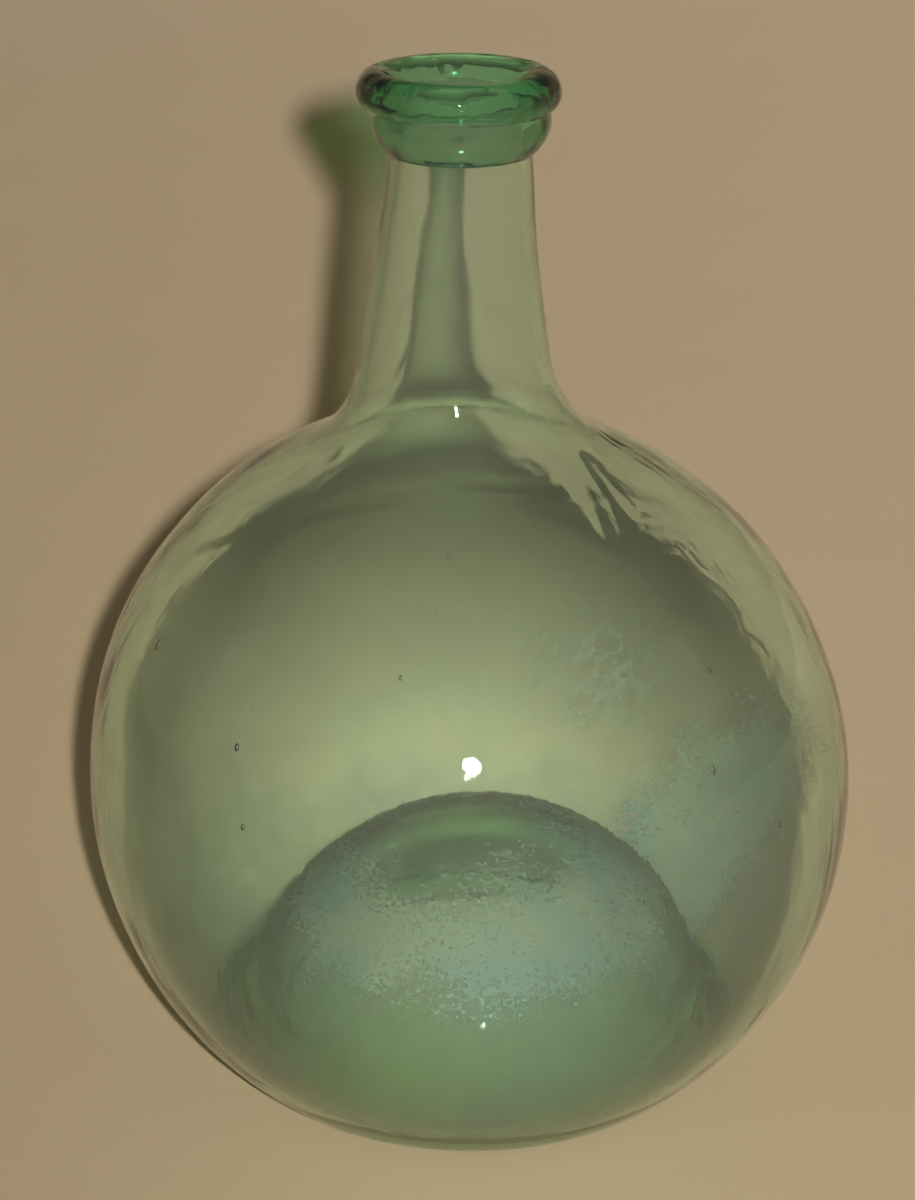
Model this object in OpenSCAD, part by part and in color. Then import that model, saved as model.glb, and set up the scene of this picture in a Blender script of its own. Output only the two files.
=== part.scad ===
// Glass carboy: a blown globular vessel with a tall neck and a pushed-up base,
// a tapered collar laid round the top of the neck and a round mouth ring over its end.
// Units are millimetres. The floor is z = 0 and the axis of the mouth is +Z.
// Every outline is a chain of arcs that touch each other tangentially.

/* [Globe] */
// outside diameter of the globe at its widest
globe_d = 285; // [238:1:342]
// height of the widest line above the floor
globe_z = 107; // [92:1:126]
// thickness of the globe wall
globe_wall = 3; // [2.4:0.1:4.2]

/* [Base] */
// radius of the rounding from the globe down to the floor
heel_r = 8; // [5:0.5:11]
// width of the flat worn ring the vessel stands on
foot_w = 4; // [2:0.5:7]
// radius of the rounding from the foot ring up into the pushed-up base
foot_in_r = 8; // [5:0.5:11]
// height of the pushed-up base above the floor, measured underneath
punt_rise = 79; // [66:1:95]
// glass thickness at the crown of the pushed-up base
punt_glass = 7; // [5:0.5:10]
// how much rounder the pushed-up base is inside than a skin of even thickness would be
punt_fill = 7.3; // [3:0.1:14]
// radius of the groove between the pushed-up base and the wall
valley_r = 8; // [6:0.5:11]

/* [Neck] */
// height of the lower edge of the collar above the floor
neck_z = 344; // [320:1:412]
// outside diameter of the neck where it enters the collar
neck_d = 49.3; // [41:0.1:59]
// thickness of the neck wall
neck_wall = 4.1; // [3.2:0.1:5.2]
// slope of the neck where it enters the collar, in degrees
neck_slope = 5; // [3:0.5:6]
// radius of the long hollow curve down the neck
neck_curve_r = 900; // [750:10:1080]
// radius of the hollow curve between the neck and the globe
shoulder_r = 41; // [34:1:49]

/* [Collar] */
// height of the collar
collar_h = 14.9; // [12.4:0.1:17.9]
// how far the widest band of the collar stands out from the neck
collar_out = 6.55; // [5.4:0.05:7.9]
// amount the lower edge of the collar stands proud of the neck
collar_lip = 0.6; // [0.3:0.1:1.2]
// height of the straight band at the top of the collar
collar_band = 1.9; // [1:0.1:3]

/* [Mouth ring] */
// how far the mouth ring stands out from the neck
rim_out = 10.55; // [8.7:0.05:12.7]
// height of the mouth ring above the collar
rim_h = 13.5; // [11.3:0.1:16.2]
// length of the end of the neck that is held inside the mouth ring
rim_grip = 5; // [3:0.5:6]

/* [Colour] */
// strength of the green of the glass in the preview
glass_alpha = 0.55; // [0.2:0.05:1]

/* [Hidden] */
small_facets = 48;
ball_facets = 72;
curve_facets = 480;
$fn = small_facets;

globe_r = globe_d / 2;
neck_r = neck_d / 2;
bore_r = neck_r - neck_wall;
crease_z = neck_z + collar_h;
neck_end_z = crease_z + rim_grip;
collar_r = neck_r + collar_out;
rim_r = neck_r + rim_out;
rim_round = (rim_r - bore_r) / 2;
rim_top_z = crease_z + rim_h;
overcut = 1;

// rounds a height or a radius to a thousandth of a millimetre
function tidy(value) = round(value * 1000) / 1000;

globe_c = [0, globe_z];

// centre of the heel rounding, touching the globe from inside and the floor
heel_c = [sqrt(pow(globe_r - heel_r, 2) - pow(globe_z - heel_r, 2)), heel_r];

// outer face of the pushed-up base, and the foot rounding that runs into it
foot_x = heel_c.x - foot_w;
punt_wish = (pow(punt_rise, 2) + 2 * punt_rise * foot_in_r - pow(foot_x, 2)) / (2 * punt_rise);
punt_out_r = tidy(punt_rise - punt_wish);
punt_c = [0, punt_rise - punt_out_r];
foot_c = [sqrt(pow(punt_out_r + foot_in_r, 2) - pow(foot_in_r - punt_c.y, 2)), foot_in_r];

// inner face of the pushed-up base, and the groove between it and the wall
punt_in_r = punt_out_r + punt_glass + punt_fill;
dome_c = [0, punt_rise + punt_glass - punt_in_r];
bowl_r = globe_r - globe_wall;
groove_to_globe = bowl_r - valley_r;
groove_to_dome = punt_in_r + valley_r;
centre_gap = globe_z - dome_c.y;
groove_up = (pow(groove_to_dome, 2) - pow(groove_to_globe, 2) + pow(centre_gap, 2)) / (2 * centre_gap);
groove_c = [sqrt(pow(groove_to_dome, 2) - pow(groove_up, 2)), dome_c.y + groove_up];

// hollow curve between the neck and the globe, seen from inside
shoulder_in_r = shoulder_r + (globe_wall + neck_wall) / 2;

// centre of the long hollow curve down the neck
neck_c = [neck_r + neck_curve_r * cos(neck_slope), neck_z + neck_curve_r * sin(neck_slope)];

// centre of a circle that touches the globe from outside and the neck curve from its hollow side
function shoulder_c(ball, curve, round) =
    let (gap = norm(neck_c - globe_c))
    let (way = (neck_c - globe_c) / gap)
    let (side = [-way.y, way.x])
    let (from_ball = ball + round)
    let (from_neck = curve - round)
    let (along = (pow(from_ball, 2) - pow(from_neck, 2) + pow(gap, 2)) / (2 * gap))
    let (across = sqrt(pow(from_ball, 2) - pow(along, 2)))
    globe_c + way * along + side * across;

// height at which a circle of the given radius is touched on its way to another centre
function touch_z(centre, radius, other) =
    tidy(centre.y + (other.y - centre.y) * radius / norm(other - centre));

// moves by whole millimetres, then thousandths, then the rest, so no digit is lost on the way out
module place(centre) {
    whole = [floor(centre.x), floor(centre.y)];
    part = [floor((centre.x - whole.x) * 1000), floor((centre.y - whole.y) * 1000)] / 1000;
    translate(whole)
        translate(part)
            translate(centre - whole - part)
                children();
}

module disc(centre, radius, facets = small_facets) {
    place(centre)
        circle(r = radius, $fn = facets);
}

// rectangle between two radii and two heights
module band(r_in, r_out, z_low, z_high) {
    translate([r_in, z_low])
        square([r_out - r_in, z_high - z_low]);
}

// shoulder and neck, from the top of a ball up to the lower edge of the collar
module neck_outline(ball, curve, round) {
    centre = shoulder_c(ball, curve, round);
    low = touch_z(globe_c, ball, centre);
    high = touch_z(neck_c, curve, centre);
    difference() {
        band(0, tidy(centre.x), low, high);
        disc(centre, round);
    }
    difference() {
        band(0, tidy(centre.x), high, neck_z);
        disc(neck_c, curve, curve_facets);
    }
}

// part of a ball on the axis, from a height up to where the shoulder touches it
module ball_outline(ball, z_low, curve, round) {
    intersection() {
        disc(globe_c, ball, ball_facets);
        band(0, ball + overcut, z_low, touch_z(globe_c, ball, shoulder_c(ball, curve, round)));
    }
}

// everything inside the outer face of the glass
module outer_outline() {
    heel_top = touch_z(globe_c, globe_r, heel_c);
    band(0, tidy(heel_c.x), 0, heel_top);
    intersection() {
        disc(heel_c, heel_r);
        band(tidy(heel_c.x), globe_r, 0, heel_top);
    }
    ball_outline(globe_r, heel_top, neck_curve_r, shoulder_r);
    neck_outline(globe_r, neck_curve_r, shoulder_r);
    band(0, neck_r, neck_z, neck_end_z);
}

// the room under the pushed-up base
module punt_outline() {
    foot_top = touch_z(foot_c, foot_in_r, punt_c);
    difference() {
        band(0, tidy(foot_c.x), -overcut, foot_top);
        disc(foot_c, foot_in_r);
    }
    intersection() {
        disc(punt_c, punt_out_r);
        band(0, punt_out_r, foot_top, punt_rise + overcut);
    }
}

// the glass of the base that stands up inside the vessel, and all below it
module dome_outline() {
    groove_dome_z = touch_z(dome_c, punt_in_r, groove_c);
    difference() {
        band(0, tidy(groove_c.x), 0, groove_dome_z);
        disc(groove_c, valley_r);
    }
    intersection() {
        disc(dome_c, punt_in_r);
        band(0, punt_in_r, groove_dome_z, punt_rise + punt_glass + overcut);
    }
}

// everything inside the inner face of the wall
module bowl_outline() {
    groove_globe_z = touch_z(globe_c, bowl_r, groove_c);
    band(0, tidy(groove_c.x), 0, groove_globe_z);
    intersection() {
        disc(groove_c, valley_r);
        band(tidy(groove_c.x), bowl_r, 0, groove_globe_z);
    }
    ball_outline(bowl_r, groove_globe_z, neck_curve_r + neck_wall, shoulder_in_r);
    neck_outline(bowl_r, neck_curve_r + neck_wall, shoulder_in_r);
    band(0, bore_r, neck_z, neck_end_z + overcut);
}

module vessel() {
    color([0.55, 0.72, 0.58, glass_alpha])
        rotate_extrude()
            difference() {
                outer_outline();
                punt_outline();
                difference() {
                    bowl_outline();
                    dome_outline();
                }
            }
}

module neck_collar() {
    band_z = crease_z - collar_band;
    foot_r = neck_r + collar_lip;
    swell = collar_r - foot_r;
    climb = band_z - neck_z;
    bulge_r = (pow(swell, 2) + pow(climb, 2)) / (2 * swell);
    color([0.36, 0.58, 0.44, glass_alpha])
        rotate_extrude()
            difference() {
                union() {
                    intersection() {
                        translate([collar_r - bulge_r, band_z])
                            circle(r = bulge_r);
                        translate([0, neck_z])
                            square([collar_r, climb]);
                    }
                    translate([0, band_z])
                        square([collar_r, collar_band]);
                }
                translate([-collar_r, neck_z - overcut])
                    square([collar_r + neck_r, collar_h + 2 * overcut]);
            }
}

module mouth_ring() {
    round_z = rim_top_z - rim_round;
    color([0.30, 0.54, 0.40, glass_alpha])
        rotate_extrude()
            difference() {
                intersection() {
                    union() {
                        translate([bore_r + rim_round, round_z])
                            circle(r = rim_round);
                        translate([bore_r, crease_z])
                            square([rim_round, round_z - crease_z]);
                    }
                    translate([0, crease_z])
                        square([rim_r, rim_h]);
                }
                translate([0, crease_z - overcut])
                    square([neck_r, rim_grip + overcut]);
            }
}

vessel();
neck_collar();
mouth_ring();
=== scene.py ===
import math
import bmesh
import bpy
from mathutils import Matrix, Vector, noise


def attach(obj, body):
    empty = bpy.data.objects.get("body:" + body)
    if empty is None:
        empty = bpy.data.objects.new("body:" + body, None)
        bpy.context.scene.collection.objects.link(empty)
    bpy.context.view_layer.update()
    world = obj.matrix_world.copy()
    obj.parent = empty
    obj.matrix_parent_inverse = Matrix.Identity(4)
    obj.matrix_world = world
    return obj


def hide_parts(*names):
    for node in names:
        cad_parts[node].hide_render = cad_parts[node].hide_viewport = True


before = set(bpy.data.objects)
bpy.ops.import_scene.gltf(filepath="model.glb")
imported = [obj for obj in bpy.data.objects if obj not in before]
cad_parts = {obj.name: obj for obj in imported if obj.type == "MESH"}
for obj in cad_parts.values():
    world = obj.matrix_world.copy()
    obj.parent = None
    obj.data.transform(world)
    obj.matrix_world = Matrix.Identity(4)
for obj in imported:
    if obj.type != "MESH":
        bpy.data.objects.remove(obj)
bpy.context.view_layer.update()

# ---------------------------------------------------------------- the room
# A pale warm paper floor that runs on past every edge of the view, one small
# soft lamp just beside the camera, and pale low walls under a dim ceiling.
PAPER = (0.62, 0.472, 0.284, 1)
floor_mesh = bmesh.new()
bmesh.ops.create_grid(floor_mesh, x_segments=1, y_segments=1, size=9)
paper_floor = bpy.data.objects.new("paper_floor", bpy.data.meshes.new("paper_floor"))
floor_mesh.to_mesh(paper_floor.data)
floor_mesh.free()
bpy.context.scene.collection.objects.link(paper_floor)

paper = bpy.data.materials.new("paper")
paper.use_nodes = True
paper_bsdf = paper.node_tree.nodes["Principled BSDF"]
paper_bsdf.inputs["Base Color"].default_value = PAPER
paper_bsdf.inputs["Roughness"].default_value = 0.9
paper_floor.data.materials.append(paper)

camera = bpy.data.objects.new("camera", bpy.data.cameras.new("camera"))
camera.location = (0, -0.850, 0.535)
camera.rotation_euler = (math.radians(90 - 22.84), 0, 0)
camera.data.sensor_width = 36
camera.data.lens = 74.97
bpy.context.scene.collection.objects.link(camera)
bpy.context.scene.camera = camera


def hang_light(name, kind, place, across):
    """hang a small round light, turned a little to the right of the carboy"""
    light = bpy.data.objects.new(name, bpy.data.lights.new(name, kind))
    light.location = place
    light.rotation_euler = (math.radians(72), 0, math.radians(-45))
    light.data.energy = 1
    if kind == "AREA":
        light.data.shape = "DISK"
        light.data.size = across
    else:
        light.data.shadow_soft_size = across / 2
    bpy.context.scene.collection.objects.link(light)
    return light


def math_node(tree, operation, *values):
    """a Math node fed with plain numbers or with the outputs of other nodes"""
    node = tree.nodes.new("ShaderNodeMath")
    node.operation = operation
    for socket, value in zip(node.inputs, values):
        if isinstance(value, (int, float)):
            socket.default_value = value
        else:
            tree.links.new(value, socket)
    return node.outputs[0]


def light_evenly(light, gain):
    """let a light grow with distance, so that the near and the far floor are as bright"""
    light.data.use_nodes = True
    tree = light.data.node_tree
    reach = tree.nodes.new("ShaderNodeLightPath").outputs["Ray Length"]
    strength = math_node(tree, "MULTIPLY", math_node(tree, "POWER", reach, 3), gain)
    tree.links.new(strength, tree.nodes["Emission"].inputs["Strength"])


# a crisp disc towards the carboy, a bare bulb for the rest of the floor, and the faint
# housing round them, which sets the size of the highlight in the glass
LAMP, LAMP_ACROSS = (0.033, -0.856, 0.556), 0.022
HOUSING, HOUSING_ACROSS = (0.033, -0.858, 0.556), 0.08
light_evenly(hang_light("lamp", "AREA", LAMP, LAMP_ACROSS), 6.8)
light_evenly(hang_light("lamp_bulb", "POINT", LAMP, LAMP_ACROSS), 14)
hang_light("lamp_housing", "AREA", HOUSING, HOUSING_ACROSS)
bpy.context.scene.cycles.transparent_max_bounces = 16

room = bpy.data.worlds.new("room")
room.use_nodes = True
room_nodes, room_link = room.node_tree.nodes, room.node_tree.links.new
room_way = room_nodes.new("ShaderNodeTexCoord")
room_height = room_nodes.new("ShaderNodeSeparateXYZ")
room_link(room_way.outputs["Generated"], room_height.inputs[0])
room_fade = room_nodes.new("ShaderNodeValToRGB")
room_fade.color_ramp.elements[0].position = 0.30
room_fade.color_ramp.elements[0].color = (0.27, 0.205, 0.125, 1)
room_fade.color_ramp.elements[1].position = 0.55
room_fade.color_ramp.elements[1].color = (0.055, 0.051, 0.044, 1)
room_link(room_height.outputs["Z"], room_fade.inputs[0])
room_link(room_fade.outputs[0], room_nodes["Background"].inputs["Color"])
bpy.context.scene.world = room
bpy.context.scene.view_settings.view_transform = "Standard"


# ---------------------------------------------------------------- vessel
# The globe, shoulder, neck and pushed-up base, one gather of aqua-green glass
# blown to about 3 mm, thicker up the neck and in the base. It stands free on
# the worn ring of its heel. All sizes are in metres.
GLOBE_Z, GLOBE_R, GLOBE_WALL = 0.107, 0.1425, 0.003
ROUND_R, FOOT_WIDTH = 0.008, 0.004       # every rounding at the foot, the worn ring it stands on
BASE_RISE, BASE_GLASS = 0.079, 0.007     # height of the pushed-up base, glass at its crown
BASE_FILL, BASE_ASIDE = 0.0073, 0.0045   # extra roundness inside, how far its crown strays
SHOULDER_R = 0.041
NECK_R, NECK_WALL = 0.02465, 0.0041      # at the top of the neck
NECK_TOP, NECK_END = 0.344, 0.3639       # lower edge of the collar, end inside the mouth ring
NECK_CURVE, NECK_SLOPE = 0.9, math.radians(5)
BORE_R = NECK_R - NECK_WALL
TURN_STEPS = 300
HAIR = 0.0003                            # what still counts as lying on a line
SHARP_EDGE = 0.6                         # steepest angle that is still shaded as a round


def stroke(mesh, tip, x, z, steps=1):
    """draw an outline straight on from its tip"""
    start = tip.co.copy()
    for step in range(1, steps + 1):
        tip = bmesh.ops.extrude_vert_indiv(mesh, verts=[tip])["verts"][0]
        tip.co = start.lerp(Vector((x, 0, z)), step / steps)
    return tip


def sweep(mesh, tip, centre, x, z, steps):
    """turn an outline's tip about a centre, the short way, until it points at x, z"""
    start = math.atan2(tip.co.z - centre[1], tip.co.x - centre[0])
    turn = math.atan2(z - centre[1], x - centre[0]) - start
    turn = (turn + math.pi) % (2 * math.pi) - math.pi
    spun = bmesh.ops.spin(mesh, geom=[tip], cent=(centre[0], 0, centre[1]), axis=(0, -1, 0),
                          angle=turn, steps=steps, use_merge=False)
    return next(v for v in spun["geom_last"] if isinstance(v, bmesh.types.BMVert))


def turned(mesh, steps=TURN_STEPS):
    """spin an outline once round the axis and close it into one outward-facing skin"""
    bmesh.ops.spin(mesh, geom=mesh.verts[:] + mesh.edges[:], cent=(0, 0, 0), axis=(0, 0, 1),
                   angle=2 * math.pi, steps=steps, use_merge=True)
    bmesh.ops.remove_doubles(mesh, verts=mesh.verts, dist=1e-6)
    bmesh.ops.recalc_face_normals(mesh, faces=mesh.faces)


def touch(one, other, radius):
    """point on a circle of the given radius about one centre, towards another centre"""
    return one + (other - one).normalized() * radius


def meet(one, from_one, other, from_other):
    """point at given distances from two centres, left of the way from one to the other"""
    gap = other - one
    along = (from_one ** 2 - from_other ** 2 + gap.length_squared) / (2 * gap.length)
    across = math.sqrt(from_one ** 2 - along ** 2)
    way = gap.normalized()
    return one + way * along + Vector((-way.y, way.x)) * across


def lean(height):
    """how far the blown shape strays sideways at a height, in metres"""
    marks = ((0, 0.0052), (0.05, 0.0053), (0.107, 0.0046), (0.19, 0.0024), (0.24, 0.0002),
             (0.27, -0.0011), (0.30, -0.0006), (0.344, 0.0011), (0.352, 0.0014), (0.366, 0.0002),
             (0.38, 0))
    for (low, a), (high, b) in zip(marks, marks[1:]):
        if height <= high:
            share = (height - low) / (high - low)
            share = share * share * (3 - 2 * share)
            return a + (b - a) * share
    return 0


def finish_piece(mesh, name, material, fused):
    """mark the fused faces, lean the shape, shade it smooth and put it in the scene"""
    open_glass = mesh.faces.layers.float.new("open_glass")
    for face in mesh.faces:
        middle = face.calc_center_median()
        face[open_glass] = 0.0 if fused(math.hypot(middle.x, middle.y), middle.z) else 1.0
        face.smooth = True
    for edge in mesh.edges:
        edge.smooth = edge.calc_face_angle(0) < SHARP_EDGE
    for vert in mesh.verts:
        vert.co.x += lean(vert.co.z)
    piece = bpy.data.objects.new(name, bpy.data.meshes.new(name))
    mesh.to_mesh(piece.data)
    mesh.free()
    piece.data.materials.append(material)
    bpy.context.scene.collection.objects.link(piece)
    return piece


LET_THROUGH = 0.94                       # share of the lamp's light that square-on glass lets by


def glass(name, tint, density, wave, scale):
    """clear green bottle glass, its colour in its depth and its blown waviness in its skin"""
    material = bpy.data.materials.new(name)
    material.use_nodes = True
    tree = material.node_tree
    nodes, link = tree.nodes, tree.links.new
    skin = nodes["Principled BSDF"]
    skin.inputs["Base Color"].default_value = (1, 1, 1, 1)
    skin.inputs["Transmission Weight"].default_value = 0.985
    skin.inputs["Roughness"].default_value = 0.015
    skin.inputs["IOR"].default_value = 1.52

    depth = nodes.new("ShaderNodeVolumeAbsorption")
    depth.inputs["Color"].default_value = tint
    depth.inputs["Density"].default_value = density
    link(depth.outputs[0], nodes["Material Output"].inputs["Volume"])

    # a joint between two gathers is one body of glass; a shadow is darkest at the edges
    joint = nodes.new("ShaderNodeAttribute")
    joint.attribute_name = "open_glass"
    path = nodes.new("ShaderNodeLightPath")
    edge = nodes.new("ShaderNodeLayerWeight")
    edge.inputs["Blend"].default_value = 0.5

    rim = math_node(tree, "POWER", edge.outputs["Facing"], 1.5)
    through = math_node(tree, "MULTIPLY_ADD", rim, -LET_THROUGH, LET_THROUGH)
    cast = math_node(tree, "MULTIPLY", path.outputs["Is Shadow Ray"], through)
    solid = math_node(tree, "SUBTRACT", 1, cast)
    link(math_node(tree, "MULTIPLY", solid, joint.outputs["Fac"]), skin.inputs["Alpha"])

    place = nodes.new("ShaderNodeTexCoord")
    swirl = nodes.new("ShaderNodeTexNoise")
    swirl.inputs["Scale"].default_value = scale
    swirl.inputs["Detail"].default_value = 2
    link(place.outputs["Object"], swirl.inputs["Vector"])
    bump = nodes.new("ShaderNodeBump")
    bump.inputs["Strength"].default_value = 1
    bump.inputs["Distance"].default_value = wave
    drawn = nodes.new("ShaderNodeMapping")
    drawn.inputs["Rotation"].default_value = (0.25, 0.3, 0)
    drawn.inputs["Scale"].default_value = (1, 1, 0.16)
    link(place.outputs["Object"], drawn.inputs["Vector"])
    streak = nodes.new("ShaderNodeTexNoise")
    streak.inputs["Scale"].default_value = 95
    streak.inputs["Detail"].default_value = 3
    streak.inputs["Distortion"].default_value = 0.8
    link(drawn.outputs[0], streak.inputs["Vector"])
    height = math_node(tree, "MULTIPLY_ADD", streak.outputs["Fac"], 0.06, swirl.outputs["Fac"])
    link(height, bump.inputs["Height"])
    link(bump.outputs[0], skin.inputs["Normal"])
    return material


vessel_glass = glass("vessel_glass", (0.24, 0.73, 0.32, 1), 62, 0.0012, 14)

globe_centre = Vector((0, GLOBE_Z))
bowl_r = GLOBE_R - GLOBE_WALL
heel_x = math.sqrt((GLOBE_R - ROUND_R) ** 2 - (GLOBE_Z - ROUND_R) ** 2)
heel_centre = Vector((heel_x, ROUND_R))
foot_centre = Vector((heel_x - FOOT_WIDTH, ROUND_R))
punt_r = BASE_RISE / 2 - ROUND_R + foot_centre.x ** 2 / (2 * BASE_RISE)
punt_centre = Vector((0, BASE_RISE - punt_r))
dome_top, dome_r = BASE_RISE + BASE_GLASS, punt_r + BASE_GLASS + BASE_FILL
dome_centre = Vector((0, dome_top - dome_r))
groove_centre = meet(globe_centre, bowl_r - ROUND_R, dome_centre, dome_r + ROUND_R)
neck_in = NECK_CURVE + NECK_WALL
neck_centre = Vector((NECK_R + NECK_CURVE * math.cos(NECK_SLOPE),
                      NECK_TOP + NECK_CURVE * math.sin(NECK_SLOPE)))
shoulder = meet(globe_centre, GLOBE_R + SHOULDER_R, neck_centre, NECK_CURVE - SHOULDER_R)
shoulder_in_r = SHOULDER_R + (GLOBE_WALL + NECK_WALL) / 2
shoulder_in = meet(globe_centre, bowl_r + shoulder_in_r, neck_centre, neck_in - shoulder_in_r)

# the outline runs from the middle of the underside, out and up to the mouth, and back inside
vessel_mesh = bmesh.new()
tip = bmesh.ops.create_vert(vessel_mesh, co=(0, 0, BASE_RISE))["vert"][0]
at = touch(punt_centre, foot_centre, punt_r)
tip = sweep(vessel_mesh, tip, punt_centre, at.x, at.y, 40)
tip = sweep(vessel_mesh, tip, foot_centre, foot_centre.x, 0, 9)
tip = stroke(vessel_mesh, tip, heel_centre.x, 0, 2)
at = touch(globe_centre, heel_centre, GLOBE_R)
tip = sweep(vessel_mesh, tip, heel_centre, at.x, at.y, 8)
at = touch(globe_centre, shoulder, GLOBE_R)
tip = sweep(vessel_mesh, tip, globe_centre, at.x, at.y, 62)
at = touch(neck_centre, shoulder, NECK_CURVE)
tip = sweep(vessel_mesh, tip, shoulder, at.x, at.y, 22)
tip = sweep(vessel_mesh, tip, neck_centre, NECK_R, NECK_TOP, 26)
tip = stroke(vessel_mesh, tip, NECK_R, NECK_END, 5)
tip = stroke(vessel_mesh, tip, BORE_R, NECK_END, 1)
tip = stroke(vessel_mesh, tip, BORE_R, NECK_TOP, 5)
at = touch(neck_centre, shoulder_in, neck_in)
tip = sweep(vessel_mesh, tip, neck_centre, at.x, at.y, 26)
at = touch(globe_centre, shoulder_in, bowl_r)
tip = sweep(vessel_mesh, tip, shoulder_in, at.x, at.y, 22)
at = touch(globe_centre, groove_centre, bowl_r)
tip = sweep(vessel_mesh, tip, globe_centre, at.x, at.y, 60)
at = touch(groove_centre, dome_centre, ROUND_R)
tip = sweep(vessel_mesh, tip, groove_centre, at.x, at.y, 12)
tip = sweep(vessel_mesh, tip, dome_centre, 0, dome_top, 40)
turned(vessel_mesh)

# the base was pushed up a little to one side
for vert in vessel_mesh.verts:
    reach = math.hypot(vert.co.x, vert.co.y)
    if reach < foot_centre.x and vert.co.z < GLOBE_Z:
        vert.co.x += BASE_ASIDE * vert.co.z / dome_top

# folds fanned out below the shoulder on one side, pinched when the neck was drawn, each
# with its two ends, depth and width; then a ring of ripples opposite, with its middle,
# spacing and height
FOLDS = (((0.0350, -0.0200, 0.2412), (0.0370, -0.0480, 0.2348), 0.0004, 0.0017),
         ((0.0370, -0.0205, 0.2408), (0.0455, -0.0620, 0.2255), 0.00048, 0.0020),
         ((0.0380, -0.0200, 0.2405), (0.0530, -0.0610, 0.2230), 0.00048, 0.0021),
         ((0.0400, -0.0190, 0.2402), (0.0580, -0.0480, 0.2265), 0.0004, 0.0020),
         ((0.0520, 0.0050, 0.2400), (0.0745, -0.0080, 0.2290), 0.0004, 0.0014),
         ((-0.0420, -0.0120, 0.2415), (-0.0345, -0.0200, 0.2435), 0.0005, 0.0015))
RIPPLE = (Vector((-0.0405, -0.0200, 0.2375)), 0.0045, 0.00022)
RIPPLE_COUNT = 2.6
FOLD_REACH = 0.06


def fold_depth(spot):
    """how far the outer skin dips or swells at a spot, in metres"""
    depth = 0
    for start, end, deep, wide in FOLDS:
        start, way = Vector(start), Vector(end) - Vector(start)
        if (spot - start).length > FOLD_REACH:
            continue
        along = max(0, min(1, (spot - start).dot(way) / way.length_squared))
        away = (spot - start - way * along).length
        fade = math.sin(math.pi * (0.06 + 0.94 * along)) ** 0.5
        near = away / wide
        depth -= deep * fade * (math.exp(-near * near) - 0.55 * math.exp(-(near - 1.9) ** 2))
    centre, spacing, tall = RIPPLE
    away = (spot - centre).length / spacing
    if away < RIPPLE_COUNT:
        depth += tall * math.cos(2 * math.pi * away) * (1 - away / RIPPLE_COUNT)
    return depth


# folds and ripples in the outer skin, and a faint turning line inside the back wall
LINE_Z, LINE_SLOPE, LINE_WIDTH, LINE_TALL = 0.176, 0.06, 0.0016, 0.00035
vessel_mesh.normal_update()
skin_moves = []
for vert in vessel_mesh.verts:
    x, y, z = vert.co
    reach = math.hypot(x, y)
    outside = vert.normal.dot(Vector((x, y, z - GLOBE_Z))) > 0
    if outside and 0.21 < z < 0.26 and y < 0.02 and reach > 0.03:
        skin_moves.append((vert, vert.normal * fold_depth(vert.co)))
    elif not outside and y > 0 and 0.15 < z < 0.2 and reach > 0.09:
        away = (z - LINE_Z - LINE_SLOPE * x) / LINE_WIDTH
        skin_moves.append((vert, vert.normal * LINE_TALL * math.exp(-away * away)))
for vert, move in skin_moves:
    vert.co += move

# seeds: small bubbles caught in the wall, drawn out a little along the blow, each with
# its way out from the middle of the globe, its radius and how far it is drawn out
SEEDS = [((-0.1022, -0.0522, 0.0730), 0.0012, 1.9), ((-0.0205, -0.1066, 0.0865), 0.0006, 1.6),
         ((0.0827, -0.0838, 0.0797), 0.0007, 1.5), ((-0.0737, -0.0997, 0.0583), 0.0009, 1.6),
         ((-0.0726, -0.1108, 0.0352), 0.0008, 1.5), ((0.0826, -0.1033, 0.0519), 0.0008, 2.2),
         ((0.1070, -0.0914, 0.0249), 0.0008, 2.0)]
noise.seed_set(11)
for count in range(100):
    way = noise.random_unit_vector()
    seed = (way, 0.00022 + 0.0003 * noise.random() ** 3, 1 + 1.2 * noise.random())
    if -0.5 < way.z < 0.75:              # clear of the base and the shoulder
        SEEDS.append(seed)
for way, radius, drawn in SEEDS:
    way = Vector(way).normalized()
    spot = Vector((0, 0, GLOBE_Z)) + way * (GLOBE_R + bowl_r) / 2
    up = (Vector((0, 0, 1)) - way * way.z).normalized()
    facing = Matrix((up.cross(way), up, way)).transposed().to_4x4()
    grown = Matrix.Diagonal((radius, radius * drawn, radius * 0.8, 1))
    ball = bmesh.ops.create_icosphere(vessel_mesh, subdivisions=2, radius=1,
                                      matrix=Matrix.Translation(spot) @ facing @ grown)["verts"]
    skin = {face for vert in ball for face in vert.link_faces}
    bmesh.ops.reverse_faces(vessel_mesh, faces=list(skin))


def held_by_trails(reach, height):
    """true on the end of the neck, which the collar and the mouth ring cover"""
    return height > NECK_TOP and reach > BORE_R + HAIR


vessel = finish_piece(vessel_mesh, "blown_vessel", vessel_glass, held_by_trails)
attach(vessel, "root")
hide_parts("vessel")


# ---------------------------------------------------------------- neck collar
# A trail of the same glass laid round the neck and tooled to a taper that
# swells upwards. It is fused to the neck, with no seam left inside.
COLLAR_LOW, COLLAR_HIGH = 0.344, 0.3589
COLLAR_R, COLLAR_LIP, COLLAR_BULGE = 0.0312, 0.0006, 0.0172
GAP = 0.00003                            # left between fused skins, so that none coincide
collar_glass = glass("collar_glass", (0.10, 0.74, 0.42, 1), 84, 0.0014, 70)

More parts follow.
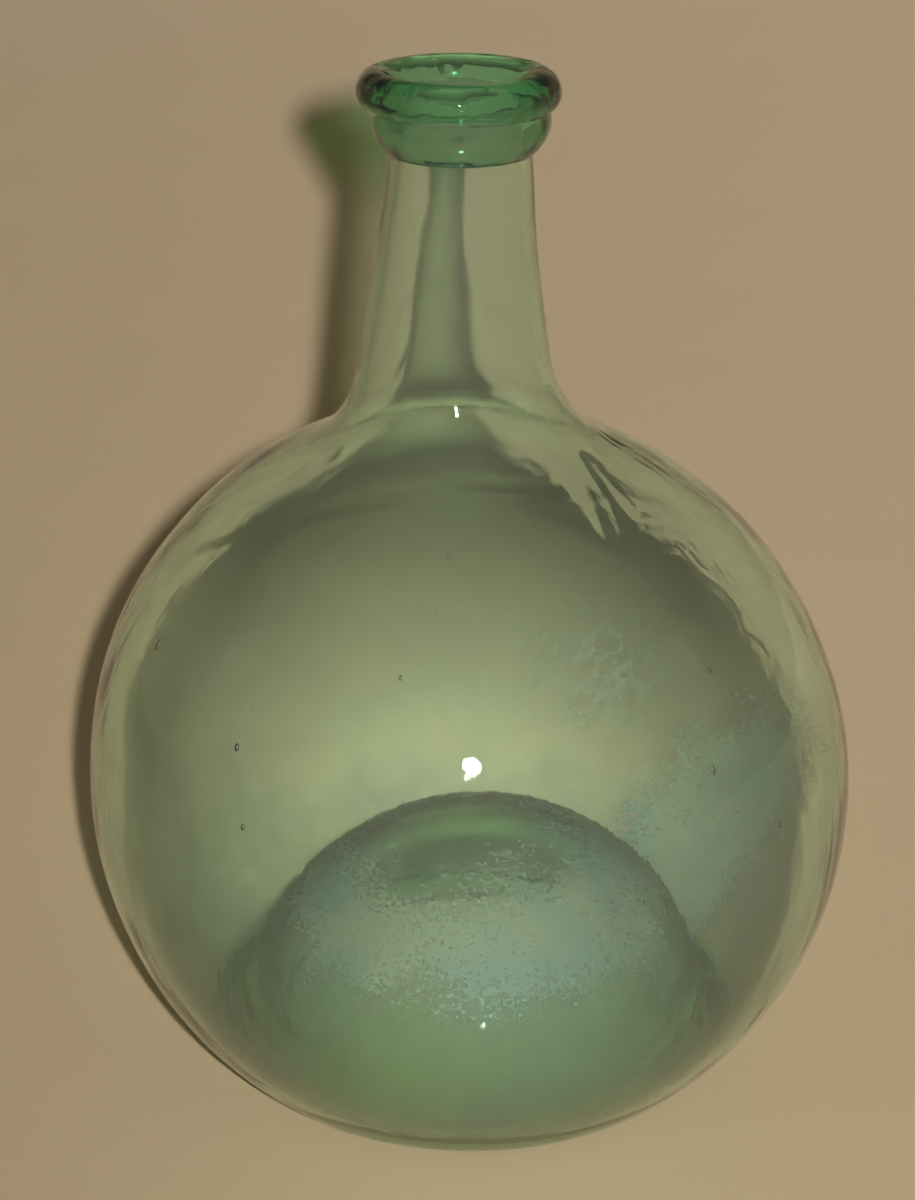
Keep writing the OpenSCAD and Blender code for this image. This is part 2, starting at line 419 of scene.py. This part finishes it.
collar_band = COLLAR_HIGH - 0.0019       # the straight band at the top starts here
collar_mesh = bmesh.new()
tip = bmesh.ops.create_vert(collar_mesh, co=(NECK_R + GAP, 0, COLLAR_LOW))["vert"][0]
tip = stroke(collar_mesh, tip, NECK_R + COLLAR_LIP, COLLAR_LOW, 1)
tip = sweep(collar_mesh, tip, (COLLAR_R - COLLAR_BULGE, collar_band), COLLAR_R, collar_band, 20)
tip = stroke(collar_mesh, tip, COLLAR_R, COLLAR_HIGH - GAP, 2)
tip = stroke(collar_mesh, tip, NECK_R + GAP, COLLAR_HIGH - GAP, 3)
tip = stroke(collar_mesh, tip, NECK_R + GAP, COLLAR_LOW, 6)
turned(collar_mesh)


def held_by_neck_and_ring(reach, height):
    """true on the bore of the collar and on its top"""
    return reach < NECK_R + HAIR / 3 or height > COLLAR_HIGH - HAIR / 3


neck_collar = finish_piece(collar_mesh, "laid_collar", collar_glass, held_by_neck_and_ring)
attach(neck_collar, "root")
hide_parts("neck_collar")


# ---------------------------------------------------------------- mouth ring
# A second, heavier trail wound over the end of the neck, melted round in the
# fire. It grips the last few millimetres of the neck and ends the bore.
RING_R, RING_TOP, RING_ROUND = 0.0352, 0.3724, 0.007325
ring_glass = glass("ring_glass", (0.08, 0.74, 0.42, 1), 92, 0.0026, 52)

ring_mesh = bmesh.new()
ring_centre = (BORE_R + RING_ROUND, RING_TOP - RING_ROUND)
low_x = ring_centre[0] + math.sqrt(RING_ROUND ** 2 - (ring_centre[1] - COLLAR_HIGH) ** 2)
tip = bmesh.ops.create_vert(ring_mesh, co=(NECK_R + GAP, 0, COLLAR_HIGH))["vert"][0]
tip = stroke(ring_mesh, tip, low_x, COLLAR_HIGH, 3)
tip = sweep(ring_mesh, tip, ring_centre, RING_R, ring_centre[1], 14)
tip = sweep(ring_mesh, tip, ring_centre, ring_centre[0], RING_TOP, 14)
tip = sweep(ring_mesh, tip, ring_centre, BORE_R, ring_centre[1], 14)
tip = stroke(ring_mesh, tip, BORE_R, NECK_END + GAP, 2)
tip = stroke(ring_mesh, tip, NECK_R + GAP, NECK_END + GAP, 2)
tip = stroke(ring_mesh, tip, NECK_R + GAP, COLLAR_HIGH, 3)
turned(ring_mesh)

# the melted trail is a little lumpy on the way round, above its seat on the collar
LUMPS, LUMP_TALL = 1.6, 0.012
for vert in ring_mesh.verts:
    reach = math.hypot(vert.co.x, vert.co.y)
    if reach > NECK_R + 0.001 and vert.co.z > COLLAR_HIGH + 0.0004:
        rise = min(1, (vert.co.z - COLLAR_HIGH) / 0.004)
        way = Vector((vert.co.x / reach * LUMPS, vert.co.y / reach * LUMPS, vert.co.z * 90))
        swell = 1 + LUMP_TALL * rise * noise.noise(way)
        vert.co.x *= swell
        vert.co.y *= swell


def held_by_neck_and_collar(reach, height):
    """true where the mouth ring grips the end of the neck and sits on the collar"""
    on_neck = BORE_R + HAIR < reach < NECK_R + HAIR and height < NECK_END + HAIR
    return on_neck or (height < COLLAR_HIGH + HAIR / 3 and reach < COLLAR_R)


mouth_ring = finish_piece(ring_mesh, "laid_mouth_ring", ring_glass, held_by_neck_and_collar)
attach(mouth_ring, "root")
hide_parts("mouth_ring")


# ---------------------------------------------------------------- mineral film
# What the last water left behind, dried on the inside: a pale speckled crust
# round the standing base and up one side, where the carboy once lay tilted.
# On the low dome the dust is thickened as painted shade, standing in for the shaded floor seen through the
# base.
FILM_OFF, FILM_TOP = 0.00025, 0.142      # clear of the glass by this, up to this height
STAINS = Vector((0.061, 0.127, 0.094))   # middle of a patch of ring-shaped stains

film_mesh = bmesh.new()
tip = bmesh.ops.create_vert(film_mesh, co=(0, 0, dome_top + FILM_OFF))["vert"][0]
at = touch(dome_centre, groove_centre, dome_r + FILM_OFF)
tip = sweep(film_mesh, tip, dome_centre, at.x, at.y, 44)
at = touch(globe_centre, groove_centre, bowl_r - FILM_OFF)
tip = sweep(film_mesh, tip, groove_centre, at.x, at.y, 10)
tip = sweep(film_mesh, tip, globe_centre, math.sqrt(bowl_r ** 2 - (FILM_TOP - GLOBE_Z) ** 2), FILM_TOP, 44)
turned(film_mesh, 240)
bmesh.ops.reverse_faces(film_mesh, faces=film_mesh.faces)


def crust(spot):
    """how deep inside the crust a spot lies, in metres; negative is outside it"""
    on_dome = min(spot.z - 0.046, 0.082 - spot.z + 0.1 * spot.x, 0.115 - math.hypot(spot.x, spot.y),
                  0.05 - spot.y, 0.085 + spot.x)
    # up the side the crust lies between two water lines of the tilted carboy
    high = (-0.104 + 1.54 * spot.x + 0.29 * spot.y - spot.z) / 1.86
    low = (spot.z + 0.1235 - 1.66 * spot.x + 1.014 * spot.y) / 2.19
    on_side = min(high, low, math.hypot(spot.x, spot.y) - 0.09)
    return max(on_dome, on_side)


stain_layer = film_mesh.verts.layers.float.new("stain")
dust_and_base_shade_layer = film_mesh.verts.layers.float.new("dust_and_base_shade")
crust_layer = film_mesh.verts.layers.float.new("crust")
for vert in film_mesh.verts:
    if math.hypot(vert.co.x, vert.co.y) < 0.097 and vert.co.z < 0.1:
        vert.co.x += BASE_ASIDE * vert.co.z / dome_top
    vert.co.x += lean(vert.co.z)
    vert[crust_layer] = max(0, min(1, 0.5 + crust(vert.co) / 0.03))
    # the dust thickens downwards, and more again on the low dome, where the extra is painted shade
    low_dome_shade = max(0, min(1, (0.056 - vert.co.z) / 0.02))
    vert[dust_and_base_shade_layer] = max(0, min(1, (0.138 - vert.co.z) / 0.09)) * (1 + 0.8 * low_dome_shade)
    vert[stain_layer] = max(0, min(1, 1.5 - 1.5 * (vert.co - STAINS).length / 0.036))
for face in film_mesh.faces:
    face.smooth = True
mineral_film = bpy.data.objects.new("mineral_film", bpy.data.meshes.new("mineral_film"))
film_mesh.to_mesh(mineral_film.data)
film_mesh.free()
bpy.context.scene.collection.objects.link(mineral_film)

film = bpy.data.materials.new("dried_mineral")
film.use_nodes = True
film_tree = film.node_tree
film_nodes, film_link = film_tree.nodes, film_tree.links.new
film_skin = film_nodes["Principled BSDF"]
film_skin.inputs["Roughness"].default_value = 0.6
film_place = film_nodes.new("ShaderNodeTexCoord")


def film_noise(scale, detail):
    """a cloudy pattern fixed to the film"""
    node = film_nodes.new("ShaderNodeTexNoise")
    node.inputs["Scale"].default_value = scale
    node.inputs["Detail"].default_value = detail
    node.inputs["Roughness"].default_value = 0.65
    film_link(film_place.outputs["Object"], node.inputs["Vector"])
    return node.outputs["Fac"]


def film_range(value, low, high, start, end):
    """a soft step from start to end while a value goes from low to high"""
    node = film_nodes.new("ShaderNodeMapRange")
    node.interpolation_type = "SMOOTHSTEP"
    film_link(value, node.inputs["Value"])
    for name, number in (("From Min", low), ("From Max", high), ("To Min", start), ("To Max", end)):
        node.inputs[name].default_value = number
    return node.outputs["Result"]


# the crust is a ragged veil with speckles, over it come ring stains and a thin dust, which is laid thicker
# on the low dome as painted shade
film_depth = film_nodes.new("ShaderNodeAttribute")
film_depth.attribute_name = "crust"
patches = film_noise(38, 5)
grains = film_noise(620, 3)
ragged = math_node(film_tree, "ADD", film_depth.outputs["Fac"], -0.55)
ragged = math_node(film_tree, "MULTIPLY_ADD", patches, 1.1, ragged)
ragged = math_node(film_tree, "ADD", ragged, -0.25)
ragged = math_node(film_tree, "MULTIPLY_ADD", grains, 0.5, ragged)
veil = film_range(ragged, 0.25, 0.85, 0, 0.24)
speckle = film_range(math_node(film_tree, "MULTIPLY", grains, ragged), 0.25, 0.42, 0, 0.34)
dust_and_base_shade = film_nodes.new("ShaderNodeAttribute")
dust_and_base_shade.attribute_name = "dust_and_base_shade"
clouds = film_range(film_noise(22, 4), 0.2, 0.8, 0.08, 0.22)
dust_and_shade = math_node(film_tree, "MULTIPLY", dust_and_base_shade.outputs["Fac"], clouds)
stain = film_nodes.new("ShaderNodeAttribute")
stain.attribute_name = "stain"
off_ring = math_node(film_tree, "ABSOLUTE", math_node(film_tree, "SUBTRACT", film_noise(75, 2), 0.56))
ring_line = film_range(off_ring, 0.045, 0.012, 0, 0.42)
rings = math_node(film_tree, "MULTIPLY", stain.outputs["Fac"], ring_line)
crusts = math_node(film_tree, "ADD", veil, math_node(film_tree, "ADD", speckle, rings))
film_link(math_node(film_tree, "ADD", dust_and_shade, crusts), film_skin.inputs["Alpha"])
hue = film_nodes.new("ShaderNodeMix")
hue.data_type = "RGBA"
film_link(film_range(film_noise(16, 2), 0.4, 0.62, 0, 1), hue.inputs["Factor"])
hue.inputs["A"].default_value = (0.23, 0.265, 0.19, 1)
hue.inputs["B"].default_value = (0.165, 0.235, 0.205, 1)
film_link(hue.outputs["Result"], film_skin.inputs["Base Color"])
mineral_film.data.materials.append(film)
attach(mineral_film, "root")
